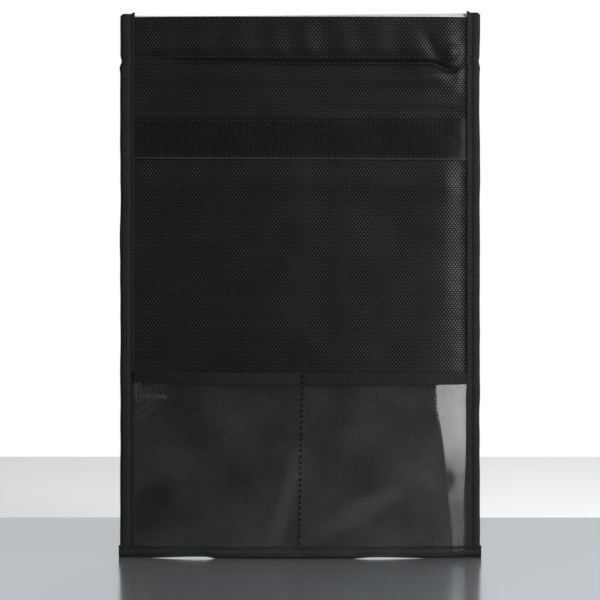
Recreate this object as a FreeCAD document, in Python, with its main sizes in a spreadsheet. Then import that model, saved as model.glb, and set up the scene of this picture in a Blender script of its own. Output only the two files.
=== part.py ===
import FreeCAD, Part
import math
import os
import re
import Sketcher

# A flat sack for charging and storing lithium batteries, standing open on its bottom seam.
# Each wall is a black ballistic cloth with a pale fire-resistant liner behind it. Folded tape
# binds the two side seams and the bottom seam. The mouth is closed by a tape pair inside the
# mouth and then by a double fold towards the front, which lays the loop tape on the back of
# the mouth band onto the hook strip on the front of the pouch. The bottom seam bows forward
# between the side seams, and that is what lets so flat a sack stand.
#
# Frame: +Z up, front towards -Y, origin at the middle of the underside. Millimetres. Each
# sub-part is drawn about the plane of the side seams and then moved back by seam_plane_y.

doc = FreeCAD.newDocument("lipo_safe_bag")

# ---------------------------------------------------------------- driving dimensions

DIMENSIONS = {
    # outline of the whole bag
    "bag_half_width": 107.3,
    "front_top": 322.2,
    "back_rise": 2.4,
    "left_binding_rise": 1.8,
    "right_binding_rise": 2.6,
    # thickness of the cloths, and the air between two that lie together
    "cloth": 0.8,
    "liner": 0.5,
    "layer_gap": 0.1,
    "seam_gap": 0.1,
    # plan of a wall: flat at the seams, bowed between them
    "bow_half_width": 98.0,
    "seam_inset": 2.0,
    # how far each wall bows out from the side seams, from the bottom seam up to the mouth;
    # a negative bow goes in
    "seam_plane_y": 4.4,
    "level_bottom": 1.0,
    "level_hem": 7.5,
    "level_label": 26.0,
    "level_label_mid": 58.0,
    "level_label_top": 100.0,
    "level_belly": 150.0,
    "level_shoulder": 196.0,
    "level_flat": 235.5,
    "front_bow_bottom": 8.0,
    "front_bow_label": 8.2,
    "front_bow_label_mid": 8.4,
    "front_bow_label_top": 8.0,
    "front_bow_belly": 7.0,
    "front_bow_shoulder": 5.2,
    "back_bow_bottom": -8.0,
    "back_bow_label": -5.0,
    "back_bow_label_mid": 0.6,
    "back_bow_label_top": 3.6,
    "back_bow_belly": 4.8,
    "back_bow_shoulder": 4.6,
    "bow_mouth": 3.6,
    # the two folds, and the slit that parts the bodies at each
    "fold_2_height": 265.7,
    "fold_1_height": 295.4,
    "fold_slit": 0.4,
    # folded tape round the seams
    "tape": 0.8,
    "left_lap": 8.7,
    "right_lap": 7.8,
    "side_tape_bottom": 1.6,
    "bottom_tape_height": 7.1,
    "bottom_tape_overhang": 0.7,
    "bottom_tape_half_slot": 2.5,
    # hook and loop tapes
    "hook_tape": 1.1,
    "strip_bottom": 237.2,
    "strip_width": 25.0,
    "strip_half_width": 98.0,
    "mouth_tape_drop": 0.7,
    "mouth_tape_half_width": 78.0,
    # clear label pocket
    "film": 0.4,
    "film_gap": 0.6,
    "film_bottom": 1.4,
    "film_top": 109.5,
    "film_bulge_bottom": 2.0,
    "film_bulge_label": 4.1,
    "film_bulge_mid": 6.3,
    "film_bulge_top": 7.8,
    "film_end_gap": 0.4,
    "pocket_tape_bottom": 103.2,
    "pocket_tape_top": 110.4,
    "pocket_tape_leaf": 0.3,
    # thread of the seam that divides the label pocket
    "thread_radius": 0.3,
    "stitch_length": 2.8,
    "stitch_pitch": 3.9,
    "first_stitch": 9.0,
    "stitch_count": 24,
}

sheet = doc.addObject("Spreadsheet::Sheet", "dims")
for row, (alias, value) in enumerate(DIMENSIONS.items(), start=1):
    sheet.set(f"A{row}", alias)
    sheet.set(f"B{row}", str(value))
    sheet.setAlias(f"B{row}", alias)
doc.recompute()


def named(expression):
    """Write dims. before each alias in an expression."""
    return re.sub(
        r"[a-z]\w*", lambda word: f"dims.{word[0]}" if word[0] in DIMENSIONS else word[0], expression
    )


def value_of(expression):
    return float(sheet.evalExpression(expression))


# ---------------------------------------------------------------- sketches and features

FRONT = -1
BACK = 1


def plane(body, role):
    return next(item for item in body.Origin.OriginFeatures if item.Role == role)


def profile(body, name, level, corners, bows=None):
    """A closed sketch at a height, through corners given as expressions.

    bows maps the number of an edge to (radius, side): that edge is an arc bulging to the side
    that is on the right hand (1) or the left hand (-1) of the way from its start to its end.
    """
    bows = bows or {}
    sketch = body.newObject("Sketcher::SketchObject", name)
    sketch.AttachmentSupport = [(plane(body, "XY_Plane"), "")]
    sketch.MapMode = "FlatFace"
    sketch.setExpression("AttachmentOffset.Base.z", named(level))
    points = [FreeCAD.Vector(value_of(x), value_of(y), 0) for x, y in corners]
    ends = []
    for number, start in enumerate(points):
        end = points[(number + 1) % len(points)]
        if number not in bows:
            sketch.addGeometry(Part.LineSegment(start, end), False)
            ends.append((1, 2))
            continue
        radius, side = bows[number]
        size = value_of(radius)
        chord = end - start
        right = FreeCAD.Vector(chord.y, -chord.x, 0).normalize() * side
        rise = size - math.sqrt(max(size**2 - (chord.Length / 2) ** 2, 0))
        crown = (start + end) / 2 + right * rise
        arc = Part.Arc(start, crown, end)
        index = sketch.addGeometry(arc, False)
        at_start = sketch.getPoint(index, 1).distanceToPoint(start) < 1e-6
        ends.append((1, 2) if at_start else (2, 1))
        fixed = sketch.addConstraint(Sketcher.Constraint("Radius", index, size))
        sketch.setExpression(f"Constraints[{fixed}]", named(radius))
    for number, (x, y) in enumerate(corners):
        before = number - 1 if number else len(corners) - 1
        sketch.addConstraint(
            Sketcher.Constraint("Coincident", before, ends[before][1], number, ends[number][0])
        )
        for kind, place in (("DistanceX", x), ("DistanceY", y)):
            fixed = sketch.addConstraint(
                Sketcher.Constraint(kind, -1, 1, number, ends[number][0], value_of(place))
            )
            sketch.setExpression(f"Constraints[{fixed}]", named(place))
    return sketch


def new_body(label):
    body = doc.addObject("PartDesign::Body", label)
    body.Label = label
    return body


def pad(body, name, sketch, length):
    feature = body.newObject("PartDesign::Pad", name)
    feature.Profile = sketch
    feature.setExpression("Length", named(length))
    body.Tip = feature
    return feature


def loft(body, name, sketches):
    feature = body.newObject("PartDesign::AdditiveLoft", name)
    feature.Profile = sketches[0]
    feature.Sections = sketches[1:]
    feature.Ruled = True
    body.Tip = feature
    return feature


# ---------------------------------------------------------------- walls

LINER_FACE = "seam_gap"
LINER_BACK = "( seam_gap + liner )"
CLOTH_FACE = "( seam_gap + liner + layer_gap )"
CLOTH_BACK = "( seam_gap + liner + layer_gap + cloth )"


def bow_radius(bow):
    return f"( bow_half_width ^ 2 + {bow} ^ 2 ) / ( 2 * abs({bow}) )"


def bow_side(bow, side):
    """Which hand an outward bow is on, going along a wall from left to right."""
    outward = 1 if side == FRONT else -1
    return outward if value_of(bow) > 0 else -outward


def wall_profile(body, name, level, bow, side, inner, outer):
    """Plan of one cloth of a wall: two flat flanges in the seams and a bow between them."""
    edge = "( bag_half_width - seam_inset )"
    span = "bow_half_width"
    near = f"{side} * {inner}"
    far = f"{side} * {outer}"
    corners = [
        (f"-1 * {edge}", far),
        (f"-1 * {span}", far),
        (span, far),
        (edge, far),
        (edge, near),
        (span, near),
        (f"-1 * {span}", near),
        (f"-1 * {edge}", near),
    ]
    hand = bow_side(bow, side)
    bows = {1: (bow_radius(bow), hand), 5: (bow_radius(bow), -hand)}
    return profile(body, name, level, corners, bows)


# heights of the pouch's plans, with the end of the name of the bow that each has
POUCH_LEVELS = [
    ("level_bottom", "bottom"),
    ("level_hem", "bottom"),
    ("level_label", "label"),
    ("level_label_mid", "label_mid"),
    ("level_label_top", "label_top"),
    ("level_belly", "belly"),
    ("level_shoulder", "shoulder"),
]
SIDE_WORDS = {FRONT: "front", BACK: "back"}


def pouch_wall(label, side, inner, outer):
    """A wall of the pouch: close to the other wall at the bottom, bowed out above it."""
    body = new_body(label)
    word = SIDE_WORDS[side]
    sketches = [
        wall_profile(body, f"{label}_at_{level}", level, f"{word}_bow_{bow}", side, inner, outer)
        for level, bow in POUCH_LEVELS
    ]
    base = wall_profile(body, f"{label}_upper", "level_flat", "bow_mouth", side, inner, outer)
    loft(body, f"{label}_bowed", [*sketches, base])
    pad(body, f"{label}_straight", base, "fold_2_height - fold_slit / 2 - level_flat")
    return body


def band_wall(label, side, inner, outer, low, high):
    """A wall of one of the two bands above the pouch, of one plan all the way up."""
    body = new_body(label)
    base = wall_profile(body, f"{label}_plan", low, "bow_mouth", side, inner, outer)
    pad(body, f"{label}_height", base, f"( {high} ) - ( {low} )")
    return body


FOLD_BAND = ("fold_2_height + fold_slit / 2", "fold_1_height - fold_slit / 2")
MOUTH_LOW = "fold_1_height + fold_slit / 2"
MOUTH_TOPS = {FRONT: "front_top", BACK: "front_top + back_rise"}

parts = []
for side, word in SIDE_WORDS.items():
    layers = (("fabric", CLOTH_FACE, CLOTH_BACK), ("liner", LINER_FACE, LINER_BACK))
    for layer, inner, outer in layers:
        parts.append(pouch_wall(f"pouch_{word}_{layer}", side, inner, outer))
        parts.append(band_wall(f"fold_{word}_{layer}", side, inner, outer, *FOLD_BAND))
        top = MOUTH_TOPS[side]
        parts.append(band_wall(f"mouth_{word}_{layer}", side, inner, outer, MOUTH_LOW, top))


# ---------------------------------------------------------------- folded tape round the seams


def side_binding(label, hand, lap, low, high):
    """A tape folded round the side seam: a U in plan with a round back."""
    body = new_body(label)
    slot = f"( {CLOTH_BACK} + layer_gap )"
    outside = f"( {slot} + tape )"
    open_edge = f"{hand} * ( bag_half_width - {lap} )"
    bend = f"{hand} * ( bag_half_width - {outside} )"
    corners = [
        (open_edge, f"-1 * {outside}"),
        (bend, f"-1 * {outside}"),
        (f"{bend} + {hand} * {outside}", "0"),
        (bend, outside),
        (open_edge, outside),
        (open_edge, slot),
        (bend, slot),
        (f"{bend} + {hand} * {slot}", "0"),
        (bend, f"-1 * {slot}"),
        (open_edge, f"-1 * {slot}"),
    ]
    outer_bend = (outside, hand)
    inner_bend = (slot, -hand)
    bows = {1: outer_bend, 2: outer_bend, 6: inner_bend, 7: inner_bend}
    base = profile(body, f"{label}_plan", low, corners, bows)
    pad(body, f"{label}_height", base, f"( {high} ) - ( {low} )")
    return body


SIDES = (
    ("left", -1, "left_lap", "left_binding_rise"),
    ("right", 1, "right_lap", "right_binding_rise"),
)
for word, hand, lap, rise in SIDES:
    seam_top = f"front_top + {rise}"
    pouch_top = "fold_2_height - fold_slit / 2"
    parts.append(side_binding(f"pouch_{word}_binding", hand, lap, "side_tape_bottom", pouch_top))
    parts.append(side_binding(f"fold_{word}_binding", hand, lap, *FOLD_BAND))
    parts.append(side_binding(f"mouth_{word}_binding", hand, lap, MOUTH_LOW, seam_top))

# The bottom tape is folded round the bottom seam and round the feet of the side tapes. It is a
# channel that follows the bow of the seam: a pad with rounded lower edges and a slot down it.
bottom = new_body("bottom_binding")


def channel_plan(name, level, half_depth):
    half_length = "( bag_half_width + bottom_tape_overhang )"
    corners = [
        (f"-1 * {half_length}", f"-1 * {half_depth}"),
        ("-1 * bow_half_width", f"-1 * {half_depth}"),
        ("bow_half_width", f"-1 * {half_depth}"),
        (half_length, f"-1 * {half_depth}"),
        (half_length, half_depth),
        ("bow_half_width", half_depth),
        ("-1 * bow_half_width", half_depth),
        (f"-1 * {half_length}", half_depth),
    ]
    radius = bow_radius("front_bow_bottom")
    return profile(bottom, name, level, corners, {1: (radius, 1), 5: (radius, -1)})


outline = channel_plan("bottom_outline", "0", "( bottom_tape_half_slot + tape )")
pad(bottom, "bottom_blank", outline, "bottom_tape_height")
slot = bottom.newObject("PartDesign::Pocket", "bottom_slot")
slot.Profile = channel_plan("bottom_slot_plan", "bottom_tape_height", "bottom_tape_half_slot")
slot.Reversed = False
slot.setExpression("Length", named("bottom_tape_height - tape"))
bottom.Tip = slot
doc.recompute()
lower_edges = [
    f"Edge{number}"
    for number, edge in enumerate(slot.Shape.Edges, start=1)
    if edge.BoundBox.ZMax < 0.01 and edge.BoundBox.XLength > 1
]
rounding = bottom.newObject("PartDesign::Fillet", "bottom_rounding")
rounding.Base = (slot, lower_edges)
rounding.setExpression("Radius", named("tape"))
bottom.Tip = rounding
parts.append(bottom)

# ---------------------------------------------------------------- hook and loop tapes


def tape_strip(label, side, inner, thick, half_width, low, high):
    """A flat tape sewn along a bowed wall. inner is its near face at the seams, from y = 0."""
    body = new_body(label)
    radius = bow_radius("bow_mouth")
    drop = f"( {radius} - sqrt(( {radius} ) ^ 2 - {half_width} ^ 2 ) )"
    near = f"{side} * ( {inner} + bow_mouth - {drop} )"
    far = f"{side} * ( {inner} + {thick} + bow_mouth - {drop} )"
    corners = [
        (f"-1 * {half_width}", far),
        (half_width, far),
        (half_width, near),
        (f"-1 * {half_width}", near),
    ]
    hand = bow_side("bow_mouth", side)
    base = profile(body, f"{label}_plan", low, corners, {0: (radius, hand), 2: (radius, -hand)})
    pad(body, f"{label}_height", base, f"( {high} ) - ( {low} )")
    return body


OUTSIDE = f"( {CLOTH_BACK} + layer_gap )"
INSIDE = "( seam_gap - layer_gap - hook_tape )"
STRIP = ("strip_half_width", "strip_bottom", "strip_bottom + strip_width")
CLOSURE = (
    "strip_half_width",
    "front_top - mouth_tape_drop - strip_width",
    "front_top - mouth_tape_drop",
)
MOUTH_PAIR = ("mouth_tape_half_width", *CLOSURE[1:])
parts.append(tape_strip("front_hook_strip", FRONT, OUTSIDE, "hook_tape", *STRIP))
parts.append(tape_strip("closure_loop_tape", BACK, OUTSIDE, "hook_tape", *CLOSURE))
parts.append(tape_strip("mouth_hook_tape", FRONT, INSIDE, "hook_tape", *MOUTH_PAIR))
parts.append(tape_strip("mouth_loop_tape", BACK, INSIDE, "hook_tape", *MOUTH_PAIR))

# ---------------------------------------------------------------- clear label pocket

FILM_LEVELS = [
    ("film_bottom", "front_bow_bottom", "film_bulge_bottom", "layer_gap"),
    ("level_hem", "front_bow_bottom", "film_bulge_bottom", "layer_gap"),
    ("level_label", "front_bow_label", "film_bulge_label", "film_gap"),
    ("level_label_mid", "front_bow_label_mid", "film_bulge_mid", "film_gap"),
    ("level_label_top", "front_bow_label_top", "film_bulge_top", "film_gap"),
]


def film_profile(body, name, level, bow, bulge, near_gap, far_gap):
    """Plan of the film or of its edge tape: two bulges that meet at the dividing seam."""
    left = "( -1 * ( bag_half_width - left_lap - film_end_gap ) )"
    right = "( bag_half_width - right_lap - film_end_gap )"
    side_y = f"-1 * ( {CLOTH_BACK} + {{gap}} )"
    seam_y = f"-1 * ( {CLOTH_BACK} + {bow} + {{gap}} )"
    corners = [
        (left, side_y.format(gap=far_gap)),
        ("0", seam_y.format(gap=far_gap)),
        (right, side_y.format(gap=far_gap)),
        (right, side_y.format(gap=near_gap)),
        ("0", seam_y.format(gap=near_gap)),
        (left, side_y.format(gap=near_gap)),
    ]

    def radius(edge):
        half_chord = f"( ( {edge} ^ 2 + {bow} ^ 2 ) / 4 )"
        return f"( {half_chord} + {bulge} ^ 2 ) / ( 2 * {bulge} )"

    bows = {
        0: (radius(left), 1),
        1: (radius(right), 1),
        3: (radius(right), -1),
        4: (radius(left), -1),
    }
    return profile(body, name, level, corners, bows)


film = new_body("label_pocket_film")
film_sketches = [
    film_profile(film, f"film_at_{level}", level, bow, bulge, gap, f"( {gap} + film )")
    for level, bow, bulge, gap in FILM_LEVELS
]
loft(film, "film_bowed", film_sketches)
TOP_LEVEL, TOP_BOW, TOP_BULGE, TOP_GAP = FILM_LEVELS[-1]
film_upper = film_profile(
    film, "film_upper", TOP_LEVEL, TOP_BOW, TOP_BULGE, TOP_GAP, f"( {TOP_GAP} + film )"
)
pad(film, "film_straight", film_upper, f"film_top - {TOP_LEVEL}")
parts.append(film)

# The edge tape is folded over the top of the film: a solid band with a slot cut up into it.
edge_tape = new_body("pocket_edge_tape")
TAPE_NEAR = "( film_gap - pocket_tape_leaf )"
TAPE_FAR = "( film_gap + film + pocket_tape_leaf )"
band_plan = film_profile(
    edge_tape, "edge_tape_plan", "pocket_tape_bottom", TOP_BOW, TOP_BULGE, TAPE_NEAR, TAPE_FAR
)
pad(edge_tape, "edge_tape_band", band_plan, "pocket_tape_top - pocket_tape_bottom")
SLOT_NEAR = "( film_gap - layer_gap / 2 )"
SLOT_FAR = "( film_gap + film + layer_gap / 2 )"
slot_plan = film_profile(
    edge_tape, "edge_tape_slot_plan", "pocket_tape_bottom", TOP_BOW, TOP_BULGE, SLOT_NEAR, SLOT_FAR
)
edge_slot = edge_tape.newObject("PartDesign::Pocket", "edge_tape_slot")
edge_slot.Profile = slot_plan
edge_slot.Reversed = True
edge_slot.setExpression("Length", named("film_top + layer_gap - pocket_tape_bottom"))
edge_tape.Tip = edge_slot
parts.append(edge_tape)

# ---------------------------------------------------------------- dividing seam

seam_faces = [
    (value_of(level), value_of(f"{CLOTH_BACK} + {bow} + {gap} + film"))
    for level, bow, _, gap in FILM_LEVELS
]


def seam_face(height):
    """How far in front of y = 0 the film lies at the dividing seam."""
    for (low, low_face), (high, high_face) in zip(seam_faces, seam_faces[1:]):
        if height <= high:
            return low_face + (high_face - low_face) * (height - low) / (high - low)
    return seam_faces[-1][1]


stitches = []
for number in range(int(DIMENSIONS["stitch_count"])):
    stitch = doc.addObject("Part::Cylinder", f"divider_stitch_{number + 1}")
    stitch.setExpression("Radius", named("thread_radius"))
    stitch.setExpression("Height", named("stitch_length"))
    low = value_of(f"first_stitch + {number} * stitch_pitch")
    face = max(seam_face(low), seam_face(low + DIMENSIONS["stitch_length"]))
    clear = face + DIMENSIONS["thread_radius"] + DIMENSIONS["layer_gap"] / 2
    stitch.Placement = FreeCAD.Placement(FreeCAD.Vector(0, -clear, low), FreeCAD.Rotation())
    stitches.append(stitch)
seam = doc.addObject("Part::Compound", "divider_stitching")
seam.Label = "divider_stitching"
seam.Links = stitches
parts.append(seam)

for part in parts:
    part.setExpression("Placement.Base.y", named("seam_plane_y"))

# ---------------------------------------------------------------- check and write

doc.recompute()
for item in doc.Objects:
    if "Invalid" in item.State or "Error" in item.State:
        raise RuntimeError(f"{item.Label} failed: {item.State}")
os.makedirs("parts", exist_ok=True)
for part in parts:
    shape = part.Shape
    if shape.isNull() or not shape.isValid() or shape.Volume <= 0:
        raise RuntimeError(f"{part.Label} has no valid solid")
for part in parts:
    part.Shape.exportStep(f"parts/{part.Label}.step")
    box = part.Shape.BoundBox
    print(
        f"{part.Label:22s} {part.Shape.Volume / 1000:8.2f} cm3  x {box.XMin:7.1f} {box.XMax:7.1f}"
        f"  y {box.YMin:6.2f} {box.YMax:6.2f}  z {box.ZMin:6.1f} {box.ZMax:6.1f}"
    )
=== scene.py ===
import math
import bmesh
import bpy
from mathutils import Matrix, Vector, noise


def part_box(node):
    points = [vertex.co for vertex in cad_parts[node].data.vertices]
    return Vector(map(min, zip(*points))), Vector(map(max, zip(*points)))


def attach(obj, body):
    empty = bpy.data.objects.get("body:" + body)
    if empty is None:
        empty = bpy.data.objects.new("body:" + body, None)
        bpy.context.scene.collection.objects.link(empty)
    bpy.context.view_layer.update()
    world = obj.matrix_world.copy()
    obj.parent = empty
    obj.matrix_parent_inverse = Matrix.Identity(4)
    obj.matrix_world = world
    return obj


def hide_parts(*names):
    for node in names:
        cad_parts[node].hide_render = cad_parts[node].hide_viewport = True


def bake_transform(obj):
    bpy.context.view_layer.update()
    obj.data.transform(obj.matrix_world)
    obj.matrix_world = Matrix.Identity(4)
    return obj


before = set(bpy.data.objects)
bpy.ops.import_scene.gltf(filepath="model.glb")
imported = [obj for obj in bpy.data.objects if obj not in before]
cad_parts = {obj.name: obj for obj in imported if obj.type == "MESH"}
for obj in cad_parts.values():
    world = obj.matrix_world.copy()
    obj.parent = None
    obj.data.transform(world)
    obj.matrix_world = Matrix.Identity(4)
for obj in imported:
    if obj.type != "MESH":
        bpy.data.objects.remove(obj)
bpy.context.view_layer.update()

# ---------------------------------------------------------------- camera, light and table
# The sack stands on a pale polished table in front of a white backdrop, and a long lens looks
# straight at it. A large soft light stands to the right of the front and a weaker one to the left,
# a wide one hangs overhead, and one behind lights the back.

VIEW_DISTANCE = 1.6
VIEW_HEIGHT = 0.1535
VIEW_WIDTH = 0.357
SENSOR = 36
AIM = Vector((0, 0, 0.16))
BOARD_JOIN = 0.30

camera = bpy.data.objects.new("camera", bpy.data.cameras.new("camera"))
bpy.context.scene.collection.objects.link(camera)
camera.location = (0, -VIEW_DISTANCE, VIEW_HEIGHT)
camera.rotation_euler = (math.radians(90), 0, 0)
camera.data.sensor_width = SENSOR
camera.data.lens = SENSOR * VIEW_DISTANCE / VIEW_WIDTH
camera.data.clip_end = 20
bpy.context.scene.camera = camera
bpy.context.scene.view_settings.view_transform = "Standard"


def soft_light(name, azimuth, height, distance, size, power, glossy=True):
    """A softbox that looks at the middle of the sack; azimuth 0 is in front, 90 on the right.

    It doesn't show through the clear film, and glossy says whether it shows in reflections.
    """
    lamp = bpy.data.lights.new(name, "AREA")
    lamp.shape = "RECTANGLE"
    lamp.size, lamp.size_y = size
    lamp.energy = power
    light = bpy.data.objects.new(name, lamp)
    turn = math.radians(azimuth)
    light.location = (math.sin(turn) * distance, -math.cos(turn) * distance, height)
    light.rotation_euler = (AIM - light.location).to_track_quat("-Z", "Y").to_euler()
    light.visible_transmission = False
    light.visible_glossy = glossy
    bpy.context.scene.collection.objects.link(light)


soft_light("right_softbox", 48, 0.39, 1.2, (0.75, 1.1), 22)
soft_light("left_softbox", -40, 0.50, 1.4, (0.60, 0.9), 2.8)
soft_light("top_softbox", 10, 1.5, 1.0, (1.2, 1.2), 7, glossy=False)
soft_light("back_softbox", 160, 1.25, 1.4, (1.0, 0.7), 9)


def remap(tree, value, old, new):
    """A mask that runs from new[0] to new[1] while value runs from old[0] to old[1]."""
    node = tree.nodes.new("ShaderNodeMapRange")
    node.inputs["From Min"].default_value, node.inputs["From Max"].default_value = old
    node.inputs["To Min"].default_value, node.inputs["To Max"].default_value = new
    tree.links.new(value, node.inputs["Value"])
    return node.outputs[0]


# The backdrop is seen as plain white. It lights the sack weakly from the front and more strongly
# from behind.
world = bpy.data.worlds.new("white_backdrop")
bpy.context.scene.world = world
world.use_nodes = True
sky = world.node_tree
sky.nodes.clear()
path = sky.nodes.new("ShaderNodeLightPath")
seen = sky.nodes.new("ShaderNodeBackground")
seen.inputs["Color"].default_value = (1, 1, 1, 1)
ambient = sky.nodes.new("ShaderNodeBackground")
ambient.inputs["Color"].default_value = (0.95, 0.98, 1, 1)
heading = sky.nodes.new("ShaderNodeTexCoord")
compass = sky.nodes.new("ShaderNodeSeparateXYZ")
sky.links.new(heading.outputs["Generated"], compass.inputs[0])
strength = remap(sky, compass.outputs["Y"], (-0.5, 0.7), (0.08, 0.55))
sky.links.new(strength, ambient.inputs["Strength"])
choice = sky.nodes.new("ShaderNodeMixShader")
result = sky.nodes.new("ShaderNodeOutputWorld")
sky.links.new(path.outputs["Is Camera Ray"], choice.inputs[0])
sky.links.new(ambient.outputs[0], choice.inputs[1])
sky.links.new(seen.outputs[0], choice.inputs[2])
sky.links.new(choice.outputs[0], result.inputs["Surface"])


def shader(name, colour, roughness):
    """A new material with its Principled shader, to which a section adds its own pattern."""
    material = bpy.data.materials.new(name)
    material.use_nodes = True
    surface = material.node_tree.nodes["Principled BSDF"]
    surface.inputs["Base Color"].default_value = (*colour, 1)
    surface.inputs["Roughness"].default_value = roughness
    return material, surface


def from_bmesh(name, bm):
    """The object that a finished bmesh becomes, put in the scene."""
    piece = bpy.data.objects.new(name, bpy.data.meshes.new(name))
    bm.to_mesh(piece.data)
    bm.free()
    bpy.context.scene.collection.objects.link(piece)
    return piece


def table_board(name, near, far, low, colour, roughness, mirror, glow):
    """One board of the table, from y = near to y = far, with its top at z = low.

    It shows the sack's shadow and reflection, but the sack's own surfaces don't show the table.
    """
    bm = bmesh.new()
    bmesh.ops.create_grid(bm, x_segments=1, y_segments=1, size=0.5)
    bmesh.ops.scale(bm, vec=(8, far - near, 1), verts=bm.verts)
    bmesh.ops.translate(bm, vec=(0, (near + far) / 2, low), verts=bm.verts)
    board = from_bmesh(name, bm)
    material, surface = shader(name, colour, roughness)
    surface.inputs["Metallic"].default_value = mirror
    surface.inputs["Emission Color"].default_value = (*colour, 1)
    surface.inputs["Emission Strength"].default_value = glow
    board.data.materials.append(material)
    board.visible_diffuse = False
    board.visible_glossy = False
    board.visible_transmission = False


table_board("table_front", -3.0, BOARD_JOIN, -0.0002, (0.85, 0.88, 0.92), 0.17, 0.88, 0)
table_board("table_back", BOARD_JOIN, 1.04, -0.0004, (1.0, 1.0, 1.0), 0.4, 0.3, 0.04)

# ---------------------------------------------------------------- front and back cloth
# Two walls of coarse black ballistic cloth, sewn together round three sides. The empty sack keeps
# a slight bow in each wall, the creases of its folds and puckers along its seams. Each wall is laid
# as a lower and an upper piece that meet between the folds, so that each crosses only one fold.

CLOTH = 0.0008
TAPE = 0.0008
LAYER_GAP = 0.0001
FOLD_GAP = 0.0002

# The side seams lie at SEAM_Y, where the two walls pressed together are twice PAIR thick. The
# frame's pieces of cloth stop short of each fold line by FOLD_GAP.
low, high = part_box("pouch_left_binding")
SEAM_Y = (low.y + high.y) / 2
PAIR = (high.y - low.y) / 2 - TAPE - LAYER_GAP
low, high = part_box("pouch_front_fabric")
CLOTH_HALF = high.x
CLOTH_LOW = low.z
LOWER_FOLD = high.z + FOLD_GAP
STRIP_LOW, STRIP_HIGH = (corner.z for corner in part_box("front_hook_strip"))
low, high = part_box("fold_front_fabric")
UPPER_FOLD = high.z + FOLD_GAP
MOUTH_BOW = SEAM_Y - low.y - PAIR
low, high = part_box("mouth_front_fabric")
FRONT_TOP = high.z
BACK_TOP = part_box("mouth_back_fabric")[1].z
LEFT_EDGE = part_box("pouch_left_binding")[1].x
RIGHT_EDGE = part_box("pouch_right_binding")[0].x
BOW_HALF = 0.098
BELLY_BOW = 0.0083
SEAM_BOW = 0.0080
BACK_BOW = 0.0047
RIDGE = 0.022

SPLIT = UPPER_FOLD - 0.0115


def ease(value, low, high):
    """0 below low, 1 above high, and a smooth ramp between."""
    share = min(max((value - low) / (high - low), 0), 1)
    return share * share * (3 - 2 * share)


def hump(value, centre, width):
    """A smooth hill, 1 at its centre, that has almost gone at twice its width away."""
    return math.exp(-(((value - centre) / width) ** 2))


def bow(x):
    """How much of a wall's bow there is across the sack: 1 at a slight ridge, 0 at the seams.

    Right of the ridge the wall falls away evenly and then turns down steeply into the seam. On
    the left it stays flatter for longer.
    """
    past = x - RIDGE
    if past > 0:
        reach = (math.hypot(past, 0.006) - 0.006) / (math.hypot(BOW_HALF - RIDGE, 0.006) - 0.006)
        return max(1 - 0.66 * reach - 0.34 * reach**7, 0)
    return max(1 - abs(past / (BOW_HALF + RIDGE)) ** 3, 0)


def soft(x, z, size, seed):
    """A slow unevenness between -1 and 1 with hills about size apart."""
    return noise.noise(Vector((x / size, z / size, seed)))


def fold_line(x):
    """Height of the crease of the upper fold, which sags in a dent near the right seam."""
    dent = hump(x, 0.090, 0.0075)
    return UPPER_FOLD + 0.0006 - 0.0012 * ease(x, -0.09, 0.02) - 0.0042 * dent


def mouth_ripple(x, z):
    """Small upright ripples in the band above the upper fold, where the tape inside is sewn on."""
    band = ease(z, UPPER_FOLD + 0.002, UPPER_FOLD + 0.008) * ease(FRONT_TOP - z, 0.0005, 0.006)
    ripple = math.sin(x / 0.0034 + 2.2 * soft(x, z, 0.05, 3)) * (0.6 + 0.7 * soft(x, z, 0.04, 5))
    return 0.00034 * band * ripple


def upper_crease(x, z):
    """The sharp crease of the upper fold, deepest near the seams, in a wider shallow valley."""
    crease = z - fold_line(x)
    depth = 0.0016 + 0.0012 * hump(x, 0.088, 0.010) + 0.0007 * hump(x, -0.094, 0.006)
    return -depth * hump(crease, 0, 0.0013) - 0.0010 * hump(crease, 0.0005, 0.0048)


def crease_lips(x, z):
    """The cloth stands out a little above and below the upper fold."""
    crease = z - fold_line(x)
    return 0.0006 * hump(crease, 0.0090, 0.0050) + 0.0006 * hump(crease, -0.0090, 0.0050)


def right_gather(x, z):
    """Cloth bunched up where the upper fold meets the right seam, with a slanting valley in it."""
    bunch = hump(x, 0.078, 0.020) * hump(z, UPPER_FOLD + 0.001, 0.013)
    relief = 0.0012 * bunch * ease(BOW_HALF - x, 0.0, 0.010)
    valley = (x - 0.0845) + 0.53 * (z - (UPPER_FOLD - 0.0015))
    relief -= 0.0011 * hump(valley, 0, 0.0042) * hump(z, UPPER_FOLD + 0.007, 0.009)
    relief += 0.0012 * hump(x, 0.091, 0.0045) * hump(z, UPPER_FOLD + 0.0065, 0.005)
    ridge = z - (UPPER_FOLD - 0.0085)
    return relief + 0.0008 * hump(ridge, 0.12 * (x - 0.085), 0.004) * ease(x, 0.03, 0.07)


def left_drag(x, z):
    """A short drag line that rises from the left seam just above the upper fold."""
    line = (z - (UPPER_FOLD + 0.0040)) - 0.34 * (x + 0.0976)
    return 0.0006 * hump(line, 0, 0.0011) * ease(-x, 0.084, 0.092)


def unevenness(x, z):
    """The belly under the hook strip, and slow hills all over the wall."""
    belly = 0.0012 * hump(z, STRIP_LOW - 0.0125, 0.0095)
    return belly + 0.0012 * soft(x, z, 0.070, 11) + 0.0005 * soft(x, z, 0.024, 17)


def seam_puckers(x, z):
    """Fine puckers along both side seams."""
    pucker = math.sin(z / 0.0019 + 1.5 * soft(x, z, 0.02, 7)) * ease(abs(x), 0.084, 0.098)
    return 0.00014 * pucker


def lower_crease(x, z):
    """The faint crease of the lower fold, which shows only towards the seams."""
    return -0.0005 * hump(z, LOWER_FOLD + 0.0012, 0.0018) * ease(abs(x + 0.03), 0.02, 0.07)


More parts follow.
